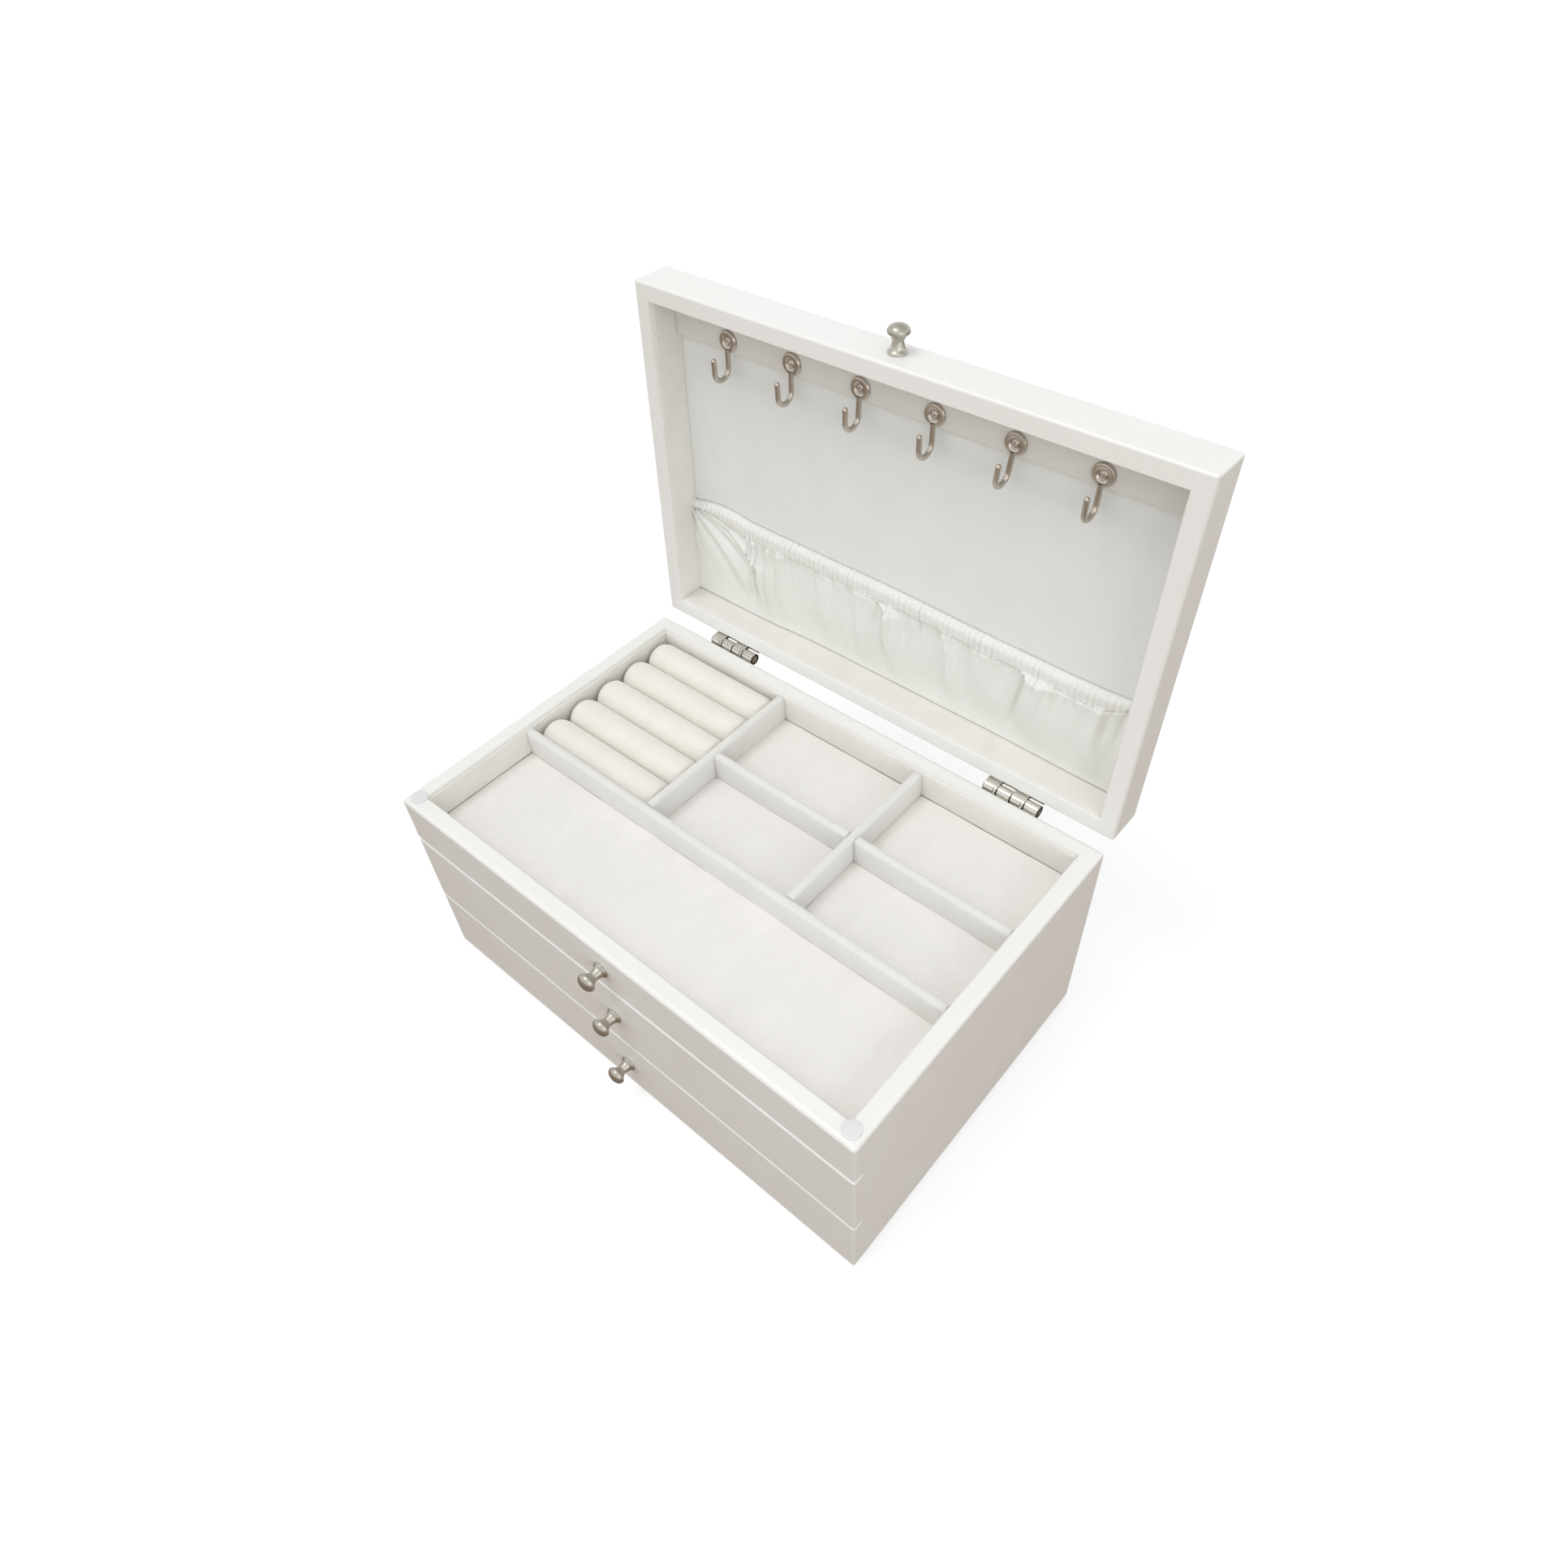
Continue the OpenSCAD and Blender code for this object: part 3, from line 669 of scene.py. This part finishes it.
def inflate(piece, voxel, cap):
    """Blows the piece up as cloth; no point goes further than cap."""
    with_modifier(piece, "REMESH", mode="VOXEL", voxel_size=voxel)
    start = points_of(piece.data)
    swelling = piece.modifiers.new("cloth", "CLOTH")
    swelling.settings.use_pressure = True
    swelling.settings.uniform_pressure_force = CLOTH_PRESSURE
    swelling.settings.effector_weights.gravity = 0
    swelling.point_cache.frame_start, swelling.point_cache.frame_end = 1, CLOTH_FRAMES
    scene = bpy.context.scene
    for number in range(1, CLOTH_FRAMES + 1):
        scene.frame_set(number)
    blown = points_of(evaluated(piece).data)
    piece.modifiers.clear()
    scene.frame_set(1)
    move = blown - start
    length = np.linalg.norm(move, axis=1, keepdims=True)
    set_points(piece.data, start + move * np.minimum(1, cap / np.maximum(length, 1e-9)))


def add_ring_rolls():
    """Five stuffed rolls side by side, pressed together along their sides."""
    for number in range(1, 6):
        node = f"ring_roll_{number}"
        low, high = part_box(node)
        piece = from_bmesh(f"velvet_roll_{number}", roll_shape(low, high))
        inflate(piece, ROLL_VOXEL, ROLL_CAP)
        points = points_of(piece.data)
        keep_low = np.array((low.x, low.y - ROLL_PAST, low.z))
        keep_high = np.array((high.x + ROLL_PAST, high.y + ROLL_PAST, high.z + ROLL_PAST))
        set_points(piece.data, np.clip(points, keep_low, keep_high))
        with_modifier(piece, "SMOOTH", factor=0.5, iterations=3)
        with_modifier(piece, "SUBSURF", levels=1)
        piece.data.shade_smooth()
        finish_piece(piece, "case", "cream_velvet", (node,))


# ---------- pocket ----------

POCKET_COLUMN = 0.45 * MM
CLOTH_THICK = 0.35 * MM
# Rows of points across the hem, which takes up a share of the pocket's height, and across the rest
HEM_ROWS, BODY_ROWS, HEM_SHARE = 26, 66, 0.17
# From here on in millimetres on the closed lid: y runs down the pocket from the hem to the seam, and
# lift is how far the cloth stands off the lid's lining
SEAM_IN = 0.4
HEM_OFF = 2.9
HEM_WIDTH = 9.2
HEM_ROLL = 3.4
RIB = 3.3
RIB_HEIGHT = 1.25
BELLY = 1.4
STITCH_DEPTH, STITCH_HALF = 1.0, 0.6
LEAST_LIFT = 0.3
# The cloth fans out from its upper left corner: the corner, where the fan ends, and its spread
FAN_CORNER_X, FAN_CORNER_DOWN = -141, 3
FAN_FROM, FAN_TO, FAN_SPREAD = -100, -78, 0.9
# Waves of the gathered cloth: height, size, turn of the noise, slant, and the share of the way down
# over which they fade out
MEDIUM_WAVES = (1.25, 4.5, 7.7, 3, 0.25, 0.68)
LARGE_WAVES = (1.7, 10, 11.3, -5, 0.6, 0.97)
BROAD_WAVES = (1.1, 21, 17.9, 0, 0.75, 1.0)
# x against y for the hem's edge, and x against lift for the seam
HEM_EDGE = (
    (-139, 27.4), (-124, 24.6), (-108, 24.6), (-88, 26.4), (0, 27.0), (50, 28.6), (110, 29.6), (139, 28.4),
)
SEAM_LIFT = ((-139, 2.6), (-86, 2.4), (-50, 0.7), (25, 0.6), (70, 0.5), (115, 1.4), (139, 1.6))
# Each fold: x and y where it bends down, slant above the bend, y where it starts, height, drift below
FOLDS = (
    (-88.5, 51, 1.6, 31, 4.4, 0.05),
    (0, 40.5, 2.3, 35, 4.2, 0.02),
    (84.5, 39.5, 2.3, 34, 4.4, -0.16),
    (38, 47, 0.5, 37, 1.7, 0.04),
    (-47, 46, 0.4, 37, 1.6, 0.03),
)
FOLD_EDGE = 0.7
FOLD_RUN = 7
# The dip on a fold's steep side: its share of the height, how far off it lies and how wide it is
DIP_SHARE, DIP_OFF, DIP_WIDTH = 0.45, 1.9, 1.6
FOLD_FADES = 10
FOLD_ENDS_Y = 84


def ease_between(value, low, high):
    """0 up to low, 1 from high on, and a smooth step between."""
    t = np.clip((value - low) / (high - low), 0, 1)
    return t * t * (3 - 2 * t)


def waves(x, size, turn):
    """Uneven waves along x, from -1 to 1."""
    flat = [noise.noise(Vector((float(v) / size, turn, 0.37 * turn))) for v in x.ravel()]
    return np.array(flat).reshape(x.shape) * 1.7


def ribs(x):
    """Puckers along an elastic: round ribs from 0 to about 1, an uneven RIB apart and unevenly high."""
    drift = 0.55 * waves(x, 9, 23.7)
    height = 0.78 + 0.3 * waves(x, 5.5, 31.1)
    return height * np.sqrt(np.abs(np.sin(np.pi * x / RIB + drift)))


def fold_lift(x, y):
    """Lift of the few deep folds: steep on the left, running out to the right."""
    lift = np.zeros_like(x)
    for bend_x, bend_y, slant, start_y, height, drift in FOLDS:
        upper = bend_x - (bend_y - y) * slant
        line = np.where(y < bend_y, upper, bend_x + (y - bend_y) * drift)
        off = x - line
        run = ease_between(off, -FOLD_EDGE, FOLD_EDGE) * np.exp(-np.maximum(off, 0) / FOLD_RUN)
        dip = DIP_SHARE * np.exp(-(((off + DIP_OFF) / DIP_WIDTH) ** 2))
        fading = 1 - ease_between(y, bend_y + FOLD_FADES, FOLD_ENDS_Y)
        lift += height * ease_between(y, start_y, bend_y) * fading * (run - dip)
    return lift


def hem_lift(x, down, hem, ends):
    """Lift of the elastic hem: a puffed band with puckers, and the row of stitches below it."""
    puffed = 0.9 * np.sqrt(np.clip(1 - (2 * down / hem - 1) ** 2, 0, 1)) * ends
    banded = RIB_HEIGHT * ribs(x) * (1 - 0.7 * ease_between(down, hem, hem + 5))
    banded *= 1 - ease_between(down, hem + 3, hem + 13)
    dashes = 0.55 + 0.45 * np.cos(2 * np.pi * x / RIB)
    stitches = STITCH_DEPTH * np.exp(-(((down - hem) / STITCH_HALF) ** 2)) * dashes
    return puffed + banded - stitches


def wave_lift(along, share, height, size, turn, slant, fade_from, fade_to):
    """Lift of one set of waves, which run down the pocket and fade out above the seam."""
    return height * waves(along + share * slant, size, turn) * (1 - ease_between(share, fade_from, fade_to))


def pocket_lift(x, y, edge, seam_y, seam_lift, ends):
    """Distance of the pocket's cloth from the lid's lining, rolled back to it at the hem's edge."""
    down = y - edge
    share = down / (seam_y - edge)
    hem = HEM_WIDTH * ends
    corner_angle = np.degrees(np.arctan2(down - FAN_CORNER_DOWN, x - FAN_CORNER_X))
    fan = 1 - ease_between(x, FAN_FROM, FAN_TO)
    along = x * (1 - fan) + corner_angle * FAN_SPREAD * fan
    below = ease_between(down, hem - 2, hem + 1)
    rolled = np.sqrt(1 - (1 - np.clip(down / HEM_ROLL, 0, 1)) ** 2)
    hang = HEM_OFF * (1 - ease_between(share, 0.45, 1.0)) + seam_lift * ease_between(share, 0.5, 1.0)
    lift = (hang + hem_lift(x, down, hem, ends)) * rolled
    lift += BELLY * np.sin(np.pi * np.clip(share, 0, 1)) ** 1.2 * below
    for kind in (MEDIUM_WAVES, LARGE_WAVES, BROAD_WAVES):
        lift += wave_lift(along, share, *kind) * below
    lift += fold_lift(x, y) * below
    return np.maximum(lift, LEAST_LIFT)


def grid_mesh(x, y, z):
    """Open sheet of quads through a grid of points, given in metres by rows."""
    bm = bmesh.new()
    verts = [[bm.verts.new(point) for point in zip(*row)] for row in zip(x, y, z)]
    for upper, lower in zip(verts, verts[1:]):
        for i in range(len(upper) - 1):
            bm.faces.new((upper[i], upper[i + 1], lower[i + 1], lower[i]))
    return bm


def add_pocket():
    """Gathered cloth with an elastic hem, sewn in where the lid's lining meets its back wall."""
    low, high = closed_box("lid_pocket")
    ceiling = closed_box("lid_ceiling_lining")[0].z
    columns = int((high.x - low.x) / POCKET_COLUMN)
    x = np.linspace(low.x, high.x, columns) / MM
    edge = np.interp(x, *zip(*flowing(HEM_EDGE)))
    seam_lift = np.interp(x, *zip(*flowing(SEAM_LIFT)))
    # The hem is narrower towards both ends, and its edge scalloped by the puckers
    ends = 0.42 + 0.58 * ease_between(x, -138, -104) * (1 - ease_between(x, 122, 139))
    edge = edge + 0.25 - 0.5 * ribs(x)
    seam_y = high.y / MM - SEAM_IN
    rows = np.concatenate((np.linspace(0, HEM_SHARE, HEM_ROWS), np.linspace(HEM_SHARE, 1, BODY_ROWS)[1:]))
    grid_x = np.repeat(x[None, :], len(rows), 0)
    grid_y = edge[None, :] + rows[:, None] * (seam_y - edge[None, :])
    lift = pocket_lift(grid_x, grid_y, edge[None, :], seam_y, seam_lift[None, :], ends[None, :])
    bm = grid_mesh(grid_x * MM, grid_y * MM, ceiling - lift * MM)
    piece = from_bmesh("gathered_pocket", bm, LID_OPEN)
    finish_piece(piece, "lid", "pocket_cloth", ("lid_pocket",))
    solid = piece.modifiers.new("thickness", "SOLIDIFY")
    solid.thickness, solid.offset = CLOTH_THICK, 0


# ---------- metal ----------


KNOB_FLANGE, KNOB_NECK = 0.9, 0.53
KNOB_BEVEL = 0.15
DOME_FROM = 9.5
DOME_ANGLES = np.radians(np.arange(9, 91, 9))
TURN_TO_FRONT = Matrix.Rotation(math.radians(90), 4, "X")


def knob_profile(length, head_r):
    """Flange with a thin rim, waisted neck and domed head with a crisp lower edge, from millimetres."""
    base_r, neck_r = head_r * KNOB_FLANGE, head_r * KNOB_NECK
    bevelled = base_r - KNOB_BEVEL
    foot = [(0, 0), (bevelled, 0), (base_r, KNOB_BEVEL), (base_r, 0.75), (bevelled, 0.95)]
    neck = flowing((
        (base_r * 0.93, 1.15), (base_r * 0.72, 2.2), (neck_r, 4.5), (neck_r, 5.8), (head_r * 0.78, 8.0),
    ))
    head = flowing(((head_r * 0.93, 8.35), (head_r, 8.9), (head_r * 0.99, DOME_FROM)), 4)
    rise = length - DOME_FROM
    dome = [(head_r * 0.99 * math.cos(a), DOME_FROM + rise * math.sin(a)) for a in DOME_ANGLES]
    outline = foot + [*neck, *head] + dome[:-1]
    return [(r * MM, h * MM) for r, h in outline] + [(0, length * MM)]


def add_knobs():
    """Turned nickel knobs, on the lid, the fixed front board and the drawers."""
    for body in ("case", "upper_drawer", "lower_drawer", "lid"):
        node = "top_knob" if body == "case" else body + "_knob"
        on_lid = body == "lid"
        low, high = closed_box(node) if on_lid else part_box(node)
        length, head_r = (high.y - low.y) / MM, (high.x - low.x) / 2 / MM
        shape = lathe(knob_profile(length, head_r))
        place = Matrix.Translation(((low.x + high.x) / 2, high.y, (low.z + high.z) / 2)) @ TURN_TO_FRONT
        piece = from_bmesh(node + "_turned", shape, (LID_OPEN if on_lid else IN_PLACE) @ place)
        finish_piece(piece, body, "satin_nickel", (node,), TURNED_NICKEL)


HOOK_DISC_R = 5.2 * MM
HOOK_DISC_T = 1.8 * MM
HOOK_WIRE_R = 1.3 * MM
HOOK_OFF = 0.1 * MM
HOOK_TIP = ((3.0 * MM, 0), (6.3 * MM, 0.25 * MM))
DISC_STEP = 0.3 * MM
# Degrees by which each hook hangs askew
HOOK_LEAN = {1: 0, 2: -1, 3: 1, 4: 0, 5: 5, 6: 1}
FACE_DOWN = Matrix.Scale(-1, 4, (0, 0, 1))


def hook_disc():
    """Round foot of a hook, with a stepped rim and a sink for the screw."""
    r, t = HOOK_DISC_R, HOOK_DISC_T
    sink, hole = r * 0.5, r * 0.46
    return lathe((
        (0, 0), (r, 0), (r, t * 0.55), (r - DISC_STEP, t * 0.62), (r - DISC_STEP, t * 0.92),
        (r - 1.6 * DISC_STEP, t), (sink, t), (hole, t * 0.68), (hole * 0.9, t * 0.6), (0, t * 0.6),
    ))


def hook_shape(reach, depth):
    """Hook lying on Z = 0, its disc about the origin, its wire along +Y and its bend above."""
    bend_r = (depth - 2 * HOOK_WIRE_R - HOOK_OFF) / 2
    wire_z, bend_y = HOOK_WIRE_R + HOOK_OFF, reach - bend_r - HOOK_WIRE_R
    shank = (HOOK_DISC_R * 0.7, HOOK_DISC_R, bend_y * 0.6, bend_y * 0.9)
    path = [Vector((0, y, wire_z)) for y in shank]
    for step in range(13):
        a = math.radians(ARC_STEP * step)
        path.append(Vector((0, bend_y + bend_r * math.sin(a), wire_z + bend_r * (1 - math.cos(a)))))
    end = path[-1]
    path += [end + Vector((0, -back, up)) for back, up in HOOK_TIP]
    return joined(hook_disc(), tube(path, HOOK_WIRE_R))


SCREW_RECESS = 0.6 * MM
SCREW_DOME = 0.45
SCREW_SEGMENTS, SCREW_RINGS = 48, 14


def screw_head(radius, height, cross, turn):
    """Low dome with a cross-shaped recess."""
    bm, rings = bmesh.new(), []
    for step in range(1, SCREW_RINGS + 1):
        r = radius * step / SCREW_RINGS
        ring = []
        for a in circle(SCREW_SEGMENTS):
            x, y = r * math.cos(a), r * math.sin(a)
            z = height * (1 - SCREW_DOME * (r / radius) ** 2)
            along = abs(x * math.cos(turn) + y * math.sin(turn))
            across = min(along, abs(y * math.cos(turn) - x * math.sin(turn)))
            recess = 1 - ease_between(across, cross * 0.5, cross)
            recess *= 1 - ease_between(r, radius * 0.55, radius * 0.7)
            ring.append(bm.verts.new((x, y, z - SCREW_RECESS * recess)))
        rings.append(ring)
    centre = bm.verts.new((0, 0, height - SCREW_RECESS))
    for i in range(SCREW_SEGMENTS):
        bm.faces.new((centre, rings[0][i], rings[0][(i + 1) % SCREW_SEGMENTS]))
    rings.append([bm.verts.new((v.co.x, v.co.y, 0)) for v in rings[-1]])
    skin(bm, rings)
    return bm


SCREW_CROSS = 0.42 * MM


def add_hooks():
    """Nickel hooks under the lid's rail, each with a screw sunk into its disc."""
    screws = []
    for number, lean in HOOK_LEAN.items():
        low, high = closed_box(f"hook_{number}")
        shape = hook_shape(high.y - low.y - HOOK_DISC_R, high.z - low.z)
        centre = Matrix.Translation(((low.x + high.x) / 2, low.y + HOOK_DISC_R, high.z))
        place = LID_OPEN @ centre @ Matrix.Rotation(math.radians(lean), 4, "Z") @ FACE_DOWN
        piece = from_bmesh(f"nickel_hook_{number}", shape, place)
        finish_piece(piece, "lid", "satin_nickel", (f"hook_{number}",), HOOK_NICKEL)
        head = screw_head(HOOK_DISC_R * 0.38, HOOK_DISC_T * 1.1, SCREW_CROSS, 0.7 * number)
        head.transform(centre @ FACE_DOWN)
        screws.append(head)
    piece = from_bmesh("hook_screw_heads", joined(*screws), LID_OPEN)
    finish_piece(piece, "lid", "satin_nickel", ("hook_screws",), HOOK_NICKEL)


# Radius and height of a bumper's outline, as shares of its own
BUMPER_OUTLINE = ((0, 0), (0.97, 0), (1, 0.18), (1, 0.5), (0.95, 0.8), (0.84, 0.96), (0.5, 1), (0, 1))


def add_bumpers():
    """Two clear domed discs on the rim's front corners, where the lid comes down."""
    low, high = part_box("rim_bumpers")
    radius, height = (high.y - low.y) / 2, high.z - low.z
    profile = [(radius * across, height * up) for across, up in BUMPER_OUTLINE]
    shapes = []
    for x in (low.x + radius, high.x - radius):
        disc = lathe(profile)
        disc.transform(Matrix.Translation((x, low.y + radius, low.z)))
        shapes.append(disc)
    finish_piece(from_bmesh("corner_bumpers", joined(*shapes)), "case", "clear_silicone", ("rim_bumpers",))


# ---------- all together ----------


HINGE_LEAVES = ("hinge_case_leaves", "hinge_lid_leaves")
SHARP_FROM = math.radians(35)


def shown_cad():
    """Materials of the CAD nodes that stay in view, and smooth rounded edges."""
    for part in frame["record"]["subparts"]:
        node, slot = part["node"], part["material_slot"]
        cad = frame["nodes"][node]
        cad.data.materials.clear()
        cad.data.materials.append(HINGE_NICKEL if node in HINGE_LEAVES else MATERIALS[slot])
        cad.data.shade_smooth()
        cad.data.set_sharp_from_angle(angle=SHARP_FROM)
        cad.modifiers.new("even_shading", "WEIGHTED_NORMAL").keep_sharp = True


def main():
    shown_cad()
    line_tray()
    line_lid()
    line_drawers()
    add_ring_rolls()
    add_pocket()
    add_knobs()
    add_hooks()
    add_bumpers()


# ---------- floor and light ----------

FLOOR_HALF = 60.0
FLOOR_GLOW = 0.58
GLOW_COLOUR = (0.97, 0.99, 1, 1)


def add_floor():
    """Pale floor with a little light of its own, as on a lit table, so that it is white by the chest."""
    bm = bmesh.new()
    bmesh.ops.create_grid(bm, x_segments=1, y_segments=1, size=FLOOR_HALF)
    floor = from_bmesh("floor", bm)
    f = Finish("floor")
    f.colour(f.mix(f.range(f.noise(300 * MM, 2), 0, 1), srgb(188, 188, 188), srgb(192, 192, 192)))
    f.set(Roughness=0.9, Specular_IOR_Level=0.1)
    f.set(Emission_Color=GLOW_COLOUR, Emission_Strength=FLOOR_GLOW)
    floor.data.materials.append(f.material)
    floor.visible_diffuse = False
    floor.visible_glossy = False
    floor.visible_shadow = False


def add_light(name, kind, energy, colour, at, aim, **settings):
    data = bpy.data.lights.new(name, kind)
    data.energy, data.color = energy, colour
    for key, value in settings.items():
        setattr(data, key, value)
    light = bpy.data.objects.new(name, data)
    bpy.context.scene.collection.objects.link(light)
    light.location = at
    light.rotation_mode = "QUATERNION"
    light.rotation_quaternion = (Vector(aim) - Vector(at)).to_track_quat("-Z", "Y")


# Share of the way up from straight below to straight above, against the light that comes from there
SURROUNDINGS = (
    (0.47, (0.292, 0.221, 0.168)),
    (0.53, (1.514, 1.514, 1.514)),
    (0.75, (0.623, 0.623, 0.623)),
)
BRIGHTEST = 2.0


def add_world():
    """Studio surroundings by height: dim and warm below, bright at the horizon, dimmer overhead."""
    world = bpy.data.worlds.new("studio")
    world.use_nodes = True
    bpy.context.scene.world = world
    tree = world.node_tree
    ramp = tree.nodes.new("ShaderNodeValToRGB")
    split = tree.nodes.new("ShaderNodeSeparateXYZ")
    height = tree.nodes.new("ShaderNodeMapRange")
    place = tree.nodes.new("ShaderNodeTexCoord")
    tree.links.new(place.outputs["Generated"], split.inputs[0])
    tree.links.new(split.outputs["Z"], height.inputs["Value"])
    height.inputs["From Min"].default_value = -1
    tree.links.new(height.outputs["Result"], ramp.inputs["Fac"])
    tree.links.new(ramp.outputs["Color"], tree.nodes["Background"].inputs["Color"])
    stops = ramp.color_ramp.elements
    while len(stops) < len(SURROUNDINGS):
        stops.new(0.5)
    for stop, (position, colour) in zip(stops, SURROUNDINGS):
        stop.position, stop.color = position, (*(part / BRIGHTEST for part in colour), 1)
    tree.nodes["Background"].inputs["Strength"].default_value = BRIGHTEST


KEY_STRENGTH = 0.54
KEY_FROM = (-0.25, -0.3, 0.92)
KEY_ANGLE = math.radians(20)
LIT_SPOT = (0, 0.05, 0.15)
# A soft box: its name, watts, place, width and depth
SOFT_BOXES = (
    ("front", 0.364, (0, -0.45, 0.75), 0.7, 0.4),
    ("overhead", 0.6, (-0.05, -0.1, 0.9), 0.7, 0.4),
    ("side", 1.2, (0.75, -0.3, 0.55), 0.5, 0.5),
)
WHITE = (1, 1, 1)


def light_studio():
    """Bright surroundings, three soft boxes and a broad key light from the left front."""
    add_world()
    add_light("key", "SUN", KEY_STRENGTH, WHITE, KEY_FROM, (0, 0, 0), angle=KEY_ANGLE)
    for name, watts, place, width, depth in SOFT_BOXES:
        add_light(name, "AREA", watts, WHITE, place, LIT_SPOT, shape="RECTANGLE", size=width, size_y=depth)


add_camera()
main()
add_floor()
light_studio()
bpy.context.scene.view_settings.view_transform = "Standard"
